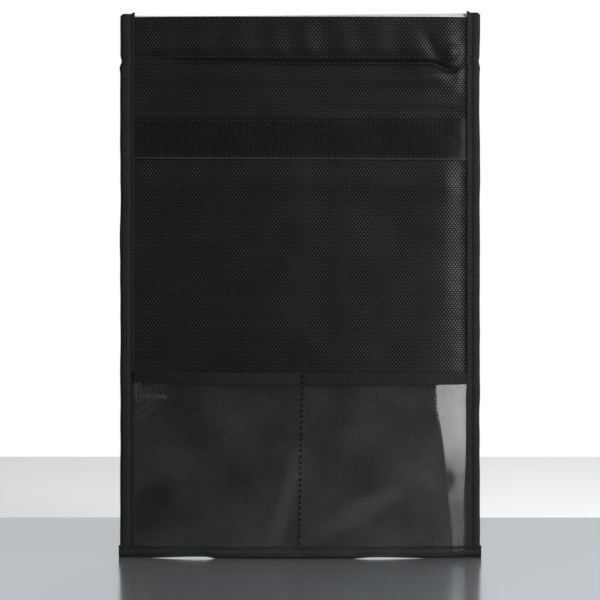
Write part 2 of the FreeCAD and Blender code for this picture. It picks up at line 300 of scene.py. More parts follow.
def front_relief(x, z):
    """All the creases and dents of the front wall, in metres outwards. None is left at a seam."""
    inside = ease(BOW_HALF - abs(x), 0.0, 0.012)
    free = mouth_ripple(x, z) + upper_crease(x, z) + unevenness(x, z) + left_drag(x, z)
    held = crease_lips(x, z) + right_gather(x, z) + seam_puckers(x, z) + lower_crease(x, z)
    return (free * inside + held) * ease(BOW_HALF + 0.0008 - abs(x), 0, 0.005)


def front_face(x, z):
    """Outer face of the front cloth: its y, from how far it bows forward of the seams."""
    rise = MOUTH_BOW + (BELLY_BOW - MOUTH_BOW) * (1 - ease(z, 0.085, 0.250))
    out = rise * bow(x) + front_relief(x, z) * ease(z, 0.004, 0.045)
    least = 0.0005
    if out < least:
        out = least * math.exp(out / least - 1)
    return SEAM_Y - PAIR - out


def back_face(x, z):
    """Outer face of the back cloth. Down at the bottom seam it follows the front wall."""
    belly = (SEAM_BOW + BACK_BOW) * ease(z, 0.004, 0.105)
    rise = -SEAM_BOW + belly - (BACK_BOW - MOUTH_BOW) * ease(z, 0.17, 0.245)
    inside = ease(BOW_HALF - abs(x), 0.0, 0.012) * ease(z, 0.004, 0.045)
    relief = 0.0008 * soft(x, z, 0.075, 23) + 0.0003 * soft(x, z, 0.024, 29)
    relief -= 0.0008 * hump(z, UPPER_FOLD, 0.0017)
    relief -= 0.0004 * hump(z, LOWER_FOLD, 0.0018)
    return SEAM_Y + PAIR + rise * bow(x) + relief * inside


def mouth_rise(x, z):
    """How the back's top edge drops towards the left, as a height of 0 or less."""
    return -0.0015 * ease(-x, -0.105, 0.095) * ease(z, BACK_TOP - 0.012, BACK_TOP)


def cut_sheet(name, across, along, step, place):
    """A cloth cut across by along, (low, high) each, with every point laid where place says.

    The cut's own coordinates are kept in the map named cut, so that a weave follows the cloth.
    """
    columns = max(round((across[1] - across[0]) / step[0]), 1)
    rows = max(round((along[1] - along[0]) / step[1]), 1)
    bm = bmesh.new()
    bmesh.ops.create_grid(bm, x_segments=columns, y_segments=rows, size=0.5)
    bmesh.ops.translate(bm, vec=(0.5, 0.5, 0), verts=bm.verts)
    spans = (across[1] - across[0], along[1] - along[0], 1)
    bmesh.ops.scale(bm, vec=spans, verts=bm.verts)
    bmesh.ops.translate(bm, vec=(across[0], along[0], 0), verts=bm.verts)
    cut = bm.loops.layers.uv.new("cut")
    for edge in bm.edges:
        edge.smooth = not edge.is_boundary
    for face in bm.faces:
        face.smooth = True
        for loop in face.loops:
            loop[cut].uv = loop.vert.co.xy
    for vert in bm.verts:
        vert.co = place(vert.co.x, vert.co.y)
    return from_bmesh(name, bm)


def thicken(piece, thickness):
    """Gives a cloth its thickness behind the face that it was laid by."""
    solid = piece.modifiers.new("thickness", "SOLIDIFY")
    solid.thickness = thickness
    solid.offset = -1
    solid.use_even_offset = False


def across_lower_fold(piece):
    """Bakes the piece's placing into its mesh, for a piece that lies across the lower fold."""
    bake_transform(piece)


def across_upper_fold(piece):
    """Bakes the piece's placing into its mesh, for a piece that lies across the upper fold."""
    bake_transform(piece)


def new_group(name, inputs, outputs):
    """A node group with float inputs, given as name: value, and the outputs, name: type."""
    group = bpy.data.node_groups.new(name, "ShaderNodeTree")
    group.interface.new_socket("Cut", in_out="INPUT", socket_type="NodeSocketVector")
    for label, value in inputs.items():
        socket = group.interface.new_socket(label, in_out="INPUT", socket_type="NodeSocketFloat")
        socket.default_value = value
    for label in outputs:
        group.interface.new_socket(label, in_out="OUTPUT", socket_type="NodeSocketFloat")
    start = group.nodes.new("NodeGroupInput")
    end = group.nodes.new("NodeGroupOutput")
    return group, start, end


def sums(tree):
    """Short ways to write a node tree's arithmetic."""

    def math_node(operation, first, second=None, third=None):
        node = tree.nodes.new("ShaderNodeMath")
        node.operation = operation
        for slot, value in enumerate((first, second, third)):
            if isinstance(value, (int, float)):
                node.inputs[slot].default_value = value
            elif value is not None:
                tree.links.new(value, node.inputs[slot])
        return node.outputs[0]

    return math_node


# Plain weave: square cells of warp over weft and weft over warp, each float rounded across.
weave, start, end = new_group(
    "plain_weave", {"Warp Pitch": 0.001, "Weft Pitch": 0.001}, ("Height", "Weft On Top", "Gap")
)
do = sums(weave)
split = weave.nodes.new("ShaderNodeSeparateXYZ")
weave.links.new(start.outputs["Cut"], split.inputs[0])
warp_place = do("DIVIDE", split.outputs["X"], start.outputs["Warp Pitch"])
weft_place = do("DIVIDE", split.outputs["Y"], start.outputs["Weft Pitch"])
warp_round = do("ABSOLUTE", do("SINE", do("MULTIPLY", warp_place, math.pi)))
weft_round = do("ABSOLUTE", do("SINE", do("MULTIPLY", weft_place, math.pi)))
warp_turn = do("ADD", weft_place, do("FLOOR", warp_place))
weft_turn = do("ADD", do("ADD", warp_place, do("FLOOR", weft_place)), 1)
warp_lift = do("MULTIPLY_ADD", do("SINE", do("MULTIPLY", warp_turn, math.pi)), 0.5, 0.5)
weft_lift = do("MULTIPLY_ADD", do("SINE", do("MULTIPLY", weft_turn, math.pi)), 0.5, 0.5)
warp_height = do("MULTIPLY", do("POWER", warp_round, 0.6), warp_lift)
weft_height = do("MULTIPLY", do("POWER", weft_round, 0.6), weft_lift)
top = do("MAXIMUM", warp_height, weft_height)
weave.links.new(top, end.inputs["Height"])
on_top = do("SUBTRACT", weft_height, warp_height)
weave.links.new(do("MULTIPLY_ADD", on_top, 0.5, 0.5), end.inputs["Weft On Top"])
weave.links.new(do("SUBTRACT", 1, top), end.inputs["Gap"])


def cut_place(tree):
    """Where a point lies on the piece's own cut."""
    chart = tree.nodes.new("ShaderNodeUVMap")
    chart.uv_map = "cut"
    return chart.outputs[0]


def place_group(tree, group, values):
    """Puts a group in a material, fed with the piece's own cut coordinates and these values."""
    node = tree.nodes.new("ShaderNodeGroup")
    node.node_tree = group
    tree.links.new(cut_place(tree), node.inputs["Cut"])
    for label, value in values.items():
        node.inputs[label].default_value = value
    return node


def ramp(tree, value, stops):
    """A colour ramp over a mask, with stops as (place, colour)."""
    node = tree.nodes.new("ShaderNodeValToRGB")
    while len(node.color_ramp.elements) < len(stops):
        node.color_ramp.elements.new(0.5)
    for element, (place, colour) in zip(node.color_ramp.elements, stops):
        element.position = place
        element.color = (*colour, 1)
    tree.links.new(value, node.inputs[0])
    return node.outputs[0]


def bump(tree, surface, height, distance):
    """Gives a material its fine relief: height times distance, in metres."""
    node = tree.nodes.new("ShaderNodeBump")
    node.inputs["Distance"].default_value = distance
    tree.links.new(height, node.inputs["Height"])
    tree.links.new(node.outputs[0], surface.inputs["Normal"])


# Dust, lint and slow differences of tone, in the piece's own cut coordinates.
lint, start, end = new_group("lint", {"Size": 60.0, "Flecks": 900.0}, ("Tone", "Fleck"))
do = sums(lint)
slow = lint.nodes.new("ShaderNodeTexNoise")
slow.inputs["Detail"].default_value = 3
lint.links.new(start.outputs["Cut"], slow.inputs["Vector"])
lint.links.new(start.outputs["Size"], slow.inputs["Scale"])
fine = lint.nodes.new("ShaderNodeTexNoise")
fine.inputs["Detail"].default_value = 1
lint.links.new(start.outputs["Cut"], fine.inputs["Vector"])
lint.links.new(start.outputs["Flecks"], fine.inputs["Scale"])
lint.links.new(slow.outputs["Fac"], end.inputs["Tone"])
lint.links.new(do("GREATER_THAN", fine.outputs["Fac"], 0.72), end.inputs["Fleck"])


def cloth_material(name, dark, light, gloss, pitch, depth):
    """Woven cloth: the weft floats are smooth and catch the light, the warp floats are dull. Painted
    highlight lightens the weft crowns and painted shade darkens the rest.
    """
    material, surface = shader(name, dark, 0.6)
    tree = material.node_tree
    do = sums(tree)
    cloth = place_group(tree, weave, {"Warp Pitch": pitch[0], "Weft Pitch": pitch[1]})
    wear = place_group(tree, lint, {"Size": 45.0, "Flecks": 700.0})
    tone = do("MULTIPLY", cloth.outputs["Weft On Top"], cloth.outputs["Height"])
    tone = do("MULTIPLY", tone, do("MULTIPLY_ADD", wear.outputs["Tone"], 0.9, 0.55))
    # Painted highlight and shade: lighter on the crowns of the weft floats, darker on the warp floats and
    # in the gaps, over a real random tone from the lint.
    colour = ramp(tree, tone, ((0.42, dark), (0.85, light)))
    tree.links.new(colour, surface.inputs["Base Color"])
    tree.links.new(remap(tree, tone, (0.30, 0.62), (0.10, 1.0)), surface.inputs["Coat Weight"])
    surface.inputs["Coat Roughness"].default_value = gloss
    tree.links.new(do("MULTIPLY_ADD", cloth.outputs["Gap"], 0.2, 0.75), surface.inputs["Roughness"])
    bump(tree, surface, cloth.outputs["Height"], depth)
    surface.inputs["Specular IOR Level"].default_value = 0.12
    return material


# The first colour is the cloth in its warp floats and gaps, carrying painted shade; the second is the
# painted highlight on the weft floats.
ballistic = cloth_material(
    "ballistic_cloth",
    (0.0022, 0.0023, 0.0025),
    (0.0120, 0.0125, 0.0138),
    0.45,
    (0.00099, 0.00129),
    0.00009,
)

WALLS = (("front", front_face, 1, FRONT_TOP), ("back", back_face, -1, BACK_TOP))
WALL_STEPS = {"lower": (0.0016, 0.0014), "upper": (0.0013, 0.0006)}


def lay_wall(layer, node, half_width, rises, thickness, behind, material):
    """One layer of both walls, each as a lower and an upper piece.

    rises says how far the layer stands over the top of the front and of the back cloth, and
    behind(drop) how far it lies behind the outer face of the cloth at drop below its own top.
    """
    for (side, face, hand, cloth_top), rise in zip(WALLS, rises):
        top = cloth_top + rise

        def place(across, z):
            x = hand * across
            lean = mouth_rise(x, z) if hand < 0 else 0
            return Vector((x, face(x, z) + hand * behind(top - z), z + lean))

        for part, span in (("lower", (CLOTH_LOW, SPLIT)), ("upper", (SPLIT, top))):
            name = f"{side}_{layer}_{part}"
            piece = cut_sheet(name, (-half_width, half_width), span, WALL_STEPS[part], place)
            thicken(piece, thickness)
            piece.data.materials.append(material)
            if part == "lower":
                across_lower_fold(piece)
                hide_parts(f"pouch_{side}_{node}", f"fold_{side}_{node}")
            else:
                across_upper_fold(piece)
                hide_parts(f"mouth_{side}_{node}")


lay_wall(
    "cloth",
    "fabric",
    CLOTH_HALF,
    (0, 0),
    CLOTH,
    lambda drop: 0,
    ballistic,
)

# ---------------------------------------------------------------- liner
# A pale coated glass-fibre cloth lies behind each wall and is caught in the same seams. It shows
# as a thin line along the mouth, where it stands a little higher than the black cloth.

LINER = 0.0005
LINER_RISE = 0.0004
LINER_INSET = 0.0004


def liner_material():
    """Glass-fibre cloth: a fine pale weave under a dull coating, with painted shade in the gaps between
    its yarns.
    """
    material, surface = shader("liner_cloth", (0.56, 0.53, 0.46), 0.6)
    tree = material.node_tree
    do = sums(tree)
    cloth = place_group(tree, weave, {"Warp Pitch": 0.0007, "Weft Pitch": 0.0007})
    wear = place_group(tree, lint, {"Size": 50.0, "Flecks": 500.0})
    tone = do("MULTIPLY_ADD", cloth.outputs["Height"], 0.5, wear.outputs["Tone"])
    # Painted shade: the colour darkens where the yarns dip into their gaps, over a real random tone.
    colour = ramp(tree, tone, ((0.3, (0.40, 0.37, 0.31)), (1.0, (0.66, 0.63, 0.56))))
    tree.links.new(colour, surface.inputs["Base Color"])
    bump(tree, surface, cloth.outputs["Height"], 0.00008)
    return material


def behind_cloth(drop):
    """The liner lies against the cloth at the mouth and hangs a little free of it below."""
    return CLOTH + LAYER_GAP + 0.0003 * ease(drop, 0.003, 0.010)


lay_wall(
    "liner",
    "liner",
    CLOTH_HALF - LINER_INSET,
    (LINER_RISE, 0),
    LINER,
    behind_cloth,
    liner_material(),
)

# ---------------------------------------------------------------- seam binding
# A ribbed tape 18 to 20 mm wide is folded in half round each side seam and sewn through near its
# edges. It pinches in at the upper fold, and its raw top end stands up past the cloth.

BINDING_FACE = PAIR + LAYER_GAP + TAPE
BINDING_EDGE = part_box("mouth_right_binding")[1].x
BINDING_SEAM = 0.0026


def ribbed_group():
    """Ribs across a tape: Cut X runs across the tape and Cut Y along it."""
    group, start, end = new_group("ribbed_tape", {"Rib": 0.0011, "Yarn": 0.0006}, ("Height", "Tone"))
    do = sums(group)
    split = group.nodes.new("ShaderNodeSeparateXYZ")
    group.links.new(start.outputs["Cut"], split.inputs[0])
    rib_place = do("DIVIDE", split.outputs["Y"], start.outputs["Rib"])
    yarn_place = do("DIVIDE", split.outputs["X"], start.outputs["Yarn"])
    rib = do("ABSOLUTE", do("SINE", do("MULTIPLY", rib_place, math.pi)))
    yarn_turn = do("ADD", yarn_place, do("MULTIPLY", do("FLOOR", rib_place), 0.5))
    yarn = do("ABSOLUTE", do("SINE", do("MULTIPLY", yarn_turn, math.pi)))
    height = do("ADD", do("MULTIPLY", rib, 0.75), do("MULTIPLY", yarn, 0.25))
    group.links.new(height, end.inputs["Height"])
    # Tone is lightest on the crests of ribs and yarns and darkest in the troughs; it feeds the painted
    # highlight and shade of a tape's colour.
    group.links.new(do("MULTIPLY", rib, yarn), end.inputs["Tone"])
    return group


ribbed = ribbed_group()


def tape_material(name, dark, light, rib=0.0011, depth=0.00016, shine=0.25, gloss=0.0):
    """Ribbed polyester tape; gloss adds a soft sheen, as on new nylon. Painted highlight and shade light
    the rib crests and darken the troughs.
    """
    material, surface = shader(name, dark, 0.7)
    surface.inputs["Coat Weight"].default_value = gloss
    surface.inputs["Coat Roughness"].default_value = 0.42
    tree = material.node_tree
    do = sums(tree)
    tape = place_group(tree, ribbed, {"Rib": rib, "Yarn": 0.0006})
    wear = place_group(tree, lint, {"Size": 90.0, "Flecks": 800.0})
    tone = do("MULTIPLY", tape.outputs["Tone"], do("MULTIPLY_ADD", wear.outputs["Tone"], 1.0, 0.5))
    tone = do("ADD", tone, do("MULTIPLY", wear.outputs["Fleck"], 0.12))
    # Painted highlight and shade: from dark in the rib troughs to light on the rib crests, with real lint
    # flecks and random tone.
    colour = ramp(tree, tone, ((0.0, dark), (0.9, light)))
    tree.links.new(colour, surface.inputs["Base Color"])
    bump(tree, surface, tape.outputs["Height"], depth)
    surface.inputs["Specular IOR Level"].default_value = shine
    return material


# Its light colour is the painted highlight on the rib crests.
binding = tape_material("binding_tape", (0.0008, 0.0008, 0.0007), (0.0170, 0.0166, 0.0158))


def fold_round(across, half_gap):
    """Where a tape folded round an edge lies: how far in from the fold, and how far to a side.

    across is 0 along the fold and grows towards one free edge of the tape.
    """
    bend = half_gap * math.pi / 2
    if abs(across) < bend:
        turn = across / half_gap
        return half_gap * (1 - math.cos(turn)), half_gap * math.sin(turn)
    return half_gap + abs(across) - bend, math.copysign(half_gap, across)


def half_width(lap, half_gap):
    """Half the width of a tape that laps this far in from the edge it is folded round."""
    return lap - half_gap + half_gap * math.pi / 2


def tape_swell(across, z, inward, lap):
    """How plump a side binding is: uneven along its length, and drawn in by its stitching."""
    return 1 + 0.10 * soft(across, z, 0.012, 41) - 0.18 * hump(inward, lap - BINDING_SEAM, 0.0009)


def side_binding(hand, lap, head, part, span):
    """One length of side binding. hand is -1 on the left and 1 on the right."""
    half_tape = half_width(lap, BINDING_FACE)
    depth = 0.0009 if hand < 0 else 0.0005

    def place(across, z):
        inward, sideways = fold_round(across * hand, BINDING_FACE)
        pinch = hump(z, UPPER_FOLD + 0.0002, 0.0022) - 0.5 * hump(z, UPPER_FOLD - 0.003, 0.0025)
        wander = 0.00035 * soft(hand, z, 0.016, 31) + 0.0004 * soft(hand, z, 0.05, 37)
        swell = tape_swell(across, z, inward, lap)
        edge = 0.0003 * soft(across, z, 0.009, 43) * ease(inward, lap - 0.003, lap)
        wander *= ease(half_tape - abs(across), 0, 0.004)
        x = hand * (BINDING_EDGE - inward - depth * pinch - wander - edge)
        tip = ease(z, head - 0.006, head)
        z += tip * (0.0011 * hump(inward, lap, 0.0012) - 0.0012 * hump(inward, 0, 0.0011))
        return Vector((x, SEAM_Y + sideways * swell, z))

    word = "left" if hand < 0 else "right"
    name = f"{word}_binding_{part}"
    piece = cut_sheet(name, (-half_tape, half_tape), span, (0.00045, 0.0015), place)
    thicken(piece, TAPE)
    piece.data.materials.append(binding)
    return piece


for hand, word in ((-1, "left"), (1, "right")):
    low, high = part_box(f"pouch_{word}_binding")
    lap = high.x - low.x
    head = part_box(f"mouth_{word}_binding")[1].z
    lower = side_binding(hand, lap, head, "lower", (low.z, SPLIT))
    across_lower_fold(lower)
    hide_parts(f"pouch_{word}_binding", f"fold_{word}_binding")
    upper = side_binding(hand, lap, head, "upper", (SPLIT, head))
    across_upper_fold(upper)
    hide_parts(f"mouth_{word}_binding")

# The same tape closes the bottom. It goes on last, over the feet of the side bindings, and its
# cut ends stick out a little past them. Its folded edge lifts a little off the table between the
# middle and each end.

low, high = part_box("bottom_binding")
BOTTOM_HIGH = high.z
BOTTOM_HALF = high.x
BOTTOM_GAP = 0.0031
BOTTOM_SEAM = 0.0022


def seam_line(x):
    """y of the bottom seam, which bows forward between the side seams."""
    return SEAM_Y - SEAM_BOW * bow(x)


def bottom_place(across, x):
    """Where a point of the bottom tape lies. Its fold is pressed down a little where it stands."""
    inward, sideways = fold_round(across, BOTTOM_GAP)
    left_gap = 0.0012 * ease(x, -0.096, -0.058) * ease(-x, 0.049, 0.057)
    right_gap = 0.0009 * ease(x, 0.028, 0.044) * ease(-x, -0.082, -0.046)
    lift = (left_gap + right_gap - 0.0003) * (1 - ease(inward, 0.0025, 0.0065))
    wander = 0.0003 * soft(x, across, 0.02, 47)
    edge = 0.00035 * soft(x, across, 0.010, 53) * ease(inward, BOTTOM_HIGH - 0.002, BOTTOM_HIGH)
    swell = 1 + 0.07 * soft(x, across, 0.015, 59) - 0.15 * hump(inward, BOTTOM_HIGH - BOTTOM_SEAM, 0.0008)
    up = inward + lift + (wander + edge) * ease(inward, 0.001, 0.004)
    return Vector((x, seam_line(x) - sideways * swell, up))


half_bottom = half_width(BOTTOM_HIGH, BOTTOM_GAP)
bottom = cut_sheet(
    "bottom_tape",
    (-half_bottom, half_bottom),
    (-BOTTOM_HALF, BOTTOM_HALF),
    (0.0007, 0.0015),
    bottom_place,
)
bottom.data.flip_normals()
thicken(bottom, TAPE)
bottom.data.materials.append(binding)
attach(bottom, "pouch")
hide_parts("bottom_binding")

# ---------------------------------------------------------------- hook strip
# A 25 mm hook tape sewn right across the front under the lower fold. Its middle carries rows of
# small nylon hooks, and its two edges are plain woven.

HOOK_TAPE = 0.0007
EDGE_WEAVE = 0.0024
STRIP_TILT = 0.004
STRIP_TUCK = 0.003
HOOK_PITCH = (0.0015, 0.0012)
HOOK_WIRE = 0.00017
HOOK_REACH = 0.0004


def strip_height(x, z):
    """The strip was sewn on a little lower at the right."""
    return z - STRIP_TILT * x


def strip_face(x, z):
    """Outer face of the strip, with a bead along its lower edge. Its ends go under the bindings."""
    bead = 0.0003 * hump(z, STRIP_LOW + 0.0007, 0.0006)
    tucked = 1 - 0.85 * ease(abs(x), -LEFT_EDGE - 0.0025, -LEFT_EDGE + 0.0002)
    return front_face(x, z) - (LAYER_GAP + HOOK_TAPE + bead) * tucked


def painted_selvedge_highlight(material):
    """Adds a painted highlight: a paler line along the bead at the lower edge of the strip."""
    tree = material.node_tree
    surface = tree.nodes["Principled BSDF"]
    do = sums(tree)
    split = tree.nodes.new("ShaderNodeSeparateXYZ")
    tree.links.new(cut_place(tree), split.inputs[0])
    away = do("ABSOLUTE", do("SUBTRACT", split.outputs["X"], STRIP_LOW + 0.0004))
    # Painted highlight along the bead of the lower edge, added to the colour.
    painted_highlight = tree.nodes.new("ShaderNodeMix")
    painted_highlight.data_type = "RGBA"
    painted_highlight.blend_type = "ADD"
    painted_highlight.inputs["Factor"].default_value = 1.0
    tree.links.new(surface.inputs["Base Color"].links[0].from_socket, painted_highlight.inputs["A"])
    tree.links.new(remap(tree, away, (0.0004, 0.0008), (0.022, 0.0)), painted_highlight.inputs["B"])
    tree.links.new(painted_highlight.outputs["Result"], surface.inputs["Base Color"])


def nylon_material():
    """Black nylon; a few hooks here and there are painted pale grey, as painted glints where they catch
    the light.
    """
    material, surface = shader("hook_nylon", (0.010, 0.010, 0.0103), 0.38)
    surface.inputs["Specular IOR Level"].default_value = 0.6
    tree = material.node_tree
    place = tree.nodes.new("ShaderNodeTexCoord")
    bright = tree.nodes.new("ShaderNodeTexNoise")
    bright.inputs["Scale"].default_value = 420
    tree.links.new(place.outputs["Object"], bright.inputs["Vector"])
    # Painted glints: scattered hooks are painted pale grey where the noise is high.
    painted_glint = ramp(tree, bright.outputs["Fac"], ((0.42, (0.001, 0.001, 0.001)), (0.68, (0.20, 0.20, 0.20))))
    tree.links.new(painted_glint, surface.inputs["Base Color"])
    return material


def ribs_across(piece):
    """Turns the cut's coordinates, so that the ribs run across a tape that lies sideways."""
    for loop in piece.data.uv_layers["cut"].data:
        loop.uv = (loop.uv.y, loop.uv.x)


# Its light colour is the painted highlight on the rib crests.
hook_ground = tape_material(
    "hook_tape",
    (0.0001, 0.0001, 0.0001),
    (0.0030, 0.0030, 0.0030),
    rib=0.0015,
    depth=0.0003,
    shine=0.12,
    gloss=0.20,
)
painted_selvedge_highlight(hook_ground)
strip = cut_sheet(
    "front_hook_tape",
    (LEFT_EDGE - STRIP_TUCK, RIGHT_EDGE + STRIP_TUCK),
    (STRIP_LOW, STRIP_HIGH),
    (0.0012, 0.0006),
    lambda x, z: Vector((x, strip_face(x, z), strip_height(x, z))),
)
ribs_across(strip)
thicken(strip, HOOK_TAPE)
strip.data.materials.append(hook_ground)
across_lower_fold(strip)
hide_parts("front_hook_strip")


def one_hook():
    """The mesh of one hook: a nylon wire spun into an arch that bends over at its tip."""
    bm = bmesh.new()
    bmesh.ops.create_circle(bm, segments=5, radius=HOOK_WIRE)
    bmesh.ops.spin(
        bm,
        geom=bm.verts[:] + bm.edges[:],
        cent=(0, HOOK_REACH, 0),
        axis=(1, 0, 0),
        angle=math.radians(215),
        steps=5,
    )
    shape = bpy.data.meshes.new("hook_shape")
    bm.to_mesh(shape)
    bm.free()
    return shape


def strip_hooks(name, left, right, low, high):
    """Rows of hooks that stand out of the strip, each leaning its own way."""
    shape = one_hook()
    bm = bmesh.new()
    for column in range(int((right - left) / HOOK_PITCH[0])):
        for row in range(int((high - low) / HOOK_PITCH[1])):
            x = left + (column + 0.5) * HOOK_PITCH[0]
            z = low + (row + 0.5) * HOOK_PITCH[1]
            z += 0.0003 * soft(x, z, 0.003, 61)
            x += 0.00012 * soft(x, z, 0.002, 67)
            lean = Matrix.Rotation(math.radians(90 + 14 * soft(x, z, 0.002, 71)), 4, "X")
            turn = Matrix.Rotation(math.radians(25 * soft(x, z, 0.0017, 73)), 4, "Y")
            stand = Matrix.Translation((x, strip_face(x, z), strip_height(x, z))) @ turn @ lean
            shape.transform(stand)
            bm.from_mesh(shape)
            shape.transform(stand.inverted())
    bmesh.ops.recalc_face_normals(bm, faces=bm.faces)
    for face in bm.faces:
        face.smooth = True
    return from_bmesh(name, bm)


hooks = strip_hooks(
    "front_hooks",
    LEFT_EDGE + 0.001,
    RIGHT_EDGE - 0.001,
    STRIP_LOW + EDGE_WEAVE,
    STRIP_HIGH - EDGE_WEAVE,
)
hooks.data.materials.append(nylon_material())
across_lower_fold(hooks)

# ---------------------------------------------------------------- mouth tapes
# Inside the mouth a hook tape faces a loop tape, and a second loop tape is sewn on the outside
# of the back wall at the same height, where the double fold lays it on the front hook strip.

low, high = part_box("closure_loop_tape")
MOUTH_TAPE_LOW, MOUTH_TAPE_HIGH = low.z, high.z
CLOSURE_HALF = 0.0985
INNER_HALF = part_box("mouth_hook_tape")[1].x
PILED_TAPE = HOOK_TAPE + 0.0003
OUTER_OFFSET = LAYER_GAP + PILED_TAPE
INNER_OFFSET = CLOTH + LINER + 3 * LAYER_GAP + PILED_TAPE


def loop_material():
    """Brushed nylon loops: a soft matted pile over the tape, painted lighter where it stands up and darker
    in its hollows, as painted highlight and shade.
    """
    material, surface = shader("loop_tape", (0.010, 0.010, 0.011), 0.85)
    tree = material.node_tree
    do = sums(tree)
    cut = cut_place(tree)
    pile = tree.nodes.new("ShaderNodeTexVoronoi")
    pile.inputs["Scale"].default_value = 1300
    tree.links.new(cut, pile.inputs["Vector"])
    mat = tree.nodes.new("ShaderNodeTexNoise")
    mat.inputs["Scale"].default_value = 500
    mat.inputs["Detail"].default_value = 4
    tree.links.new(cut, mat.inputs["Vector"])
    height = do("ADD", pile.outputs["Distance"], mat.outputs["Fac"])
    # Painted highlight and shade: the colour follows the pile's relief, light on top and dark in the
    # hollows.
    colour = ramp(tree, height, ((0.5, (0.006, 0.006, 0.0065)), (1.0, (0.035, 0.035, 0.038))))
    tree.links.new(colour, surface.inputs["Base Color"])
    bump(tree, surface, height, 0.0004)
    surface.inputs["Sheen Weight"].default_value = 0.25
    return material


loops = loop_material()


def mouth_tape(name, node, face, hand, offset, half_length, material, slot):
    """A tape sewn flat along the top of a wall; offset is how far its face lies off the cloth."""
    piece = cut_sheet(
        name,
        (-half_length, half_length),
        (MOUTH_TAPE_LOW, MOUTH_TAPE_HIGH),
        (0.0024, 0.0024),
        lambda x, z: Vector((hand * x, face(hand * x, z) + offset, z)),
    )
    ribs_across(piece)
    thicken(piece, PILED_TAPE)
    piece.data.materials.append(material)
    across_upper_fold(piece)
    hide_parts(node)


for tape in (
    ("closure_loops", "closure_loop_tape", back_face, -1, OUTER_OFFSET, CLOSURE_HALF, loops, "loop_tape"),
    ("mouth_hooks", "mouth_hook_tape", front_face, -1, INNER_OFFSET, INNER_HALF, hook_ground, "hook_tape"),
    ("mouth_loops", "mouth_loop_tape", back_face, 1, -INNER_OFFSET, INNER_HALF, loops, "loop_tape"),
):
    mouth_tape(*tape)

# ---------------------------------------------------------------- clear label pocket
# A sheet of clear soft film is caught in the bottom and side seams and sewn down its middle, so
# it makes two open-topped pockets. It bows forward in each, with soft folds near the bottom, where
# dust and handling have dulled it.

low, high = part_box("label_pocket_film")
FILM_LOW, FILM_HIGH = low.z, high.z
FILM_LEFT, FILM_RIGHT = low.x, high.x
FILM = 0.0004
FILM_OFFSET = 0.0013
FILM_TUCK = 0.0005
STITCH_PITCH = 0.0033


def divider(z):
    """x of the dividing seam, which leans a little."""
    return 0.0015 - 0.0024 * (1 - z / FILM_HIGH)


def film_relief(x, z):
    """Soft folds that fan out from the foot of the divider, and a dent under the edge tape."""
    relief = 0.0006 * soft(x, z, 0.05, 83) * ease(z, 0.008, 0.03)
    fold = (z - 0.010) - 0.56 * (x - 0.012)
    relief += 0.0011 * hump(fold, 0, 0.006) * hump(x, 0.040, 0.024) * ease(z, 0.008, 0.02)
    fold = (z - 0.012) + 0.9 * (x + 0.012)
    relief += 0.0008 * hump(fold, 0, 0.008) * hump(x, -0.028, 0.02) * ease(z, 0.008, 0.02)
    relief -= 0.0003 * hump(z, 0.0980, 0.0022) * hump(x, -0.040, 0.030)
    return relief


def film_face(x, z):
    """Outer face of the film: a lobe in each pocket, drawn in at the divider's stitches."""
    seam = divider(z)
    end = FILM_RIGHT if x > seam else FILM_LEFT
    share = min(max((x - seam) / (end - seam), 0), 1)
    lobe = 1.5 * share**1.2 * (1 - share**3)
    gape = 0.0040 * ease(z, 0.006, 0.110) + 0.0014 * ease(z, 0.006, 0.085)
    gape *= 1.0 if x > 0 else 0.72
    wave = 0.00018 * math.sin(z / 0.0095 + 1.0) * ease(z, 0.02, 0.05)
    wave *= ease(share, 0.72, 0.95) * ease(1 - share, 0, 0.05)
    flat = SEAM_Y - PAIR - BELLY_BOW * bow(x) - FILM_OFFSET
    edges = ease(1 - abs(share - 0.5) * 2, 0, 0.12)
    gather = 0.00030 * math.sin(z * math.pi / STITCH_PITCH) * hump(x, seam, 0.0026)
    return flat - gape * lobe - film_relief(x, z) * edges - wave - gather


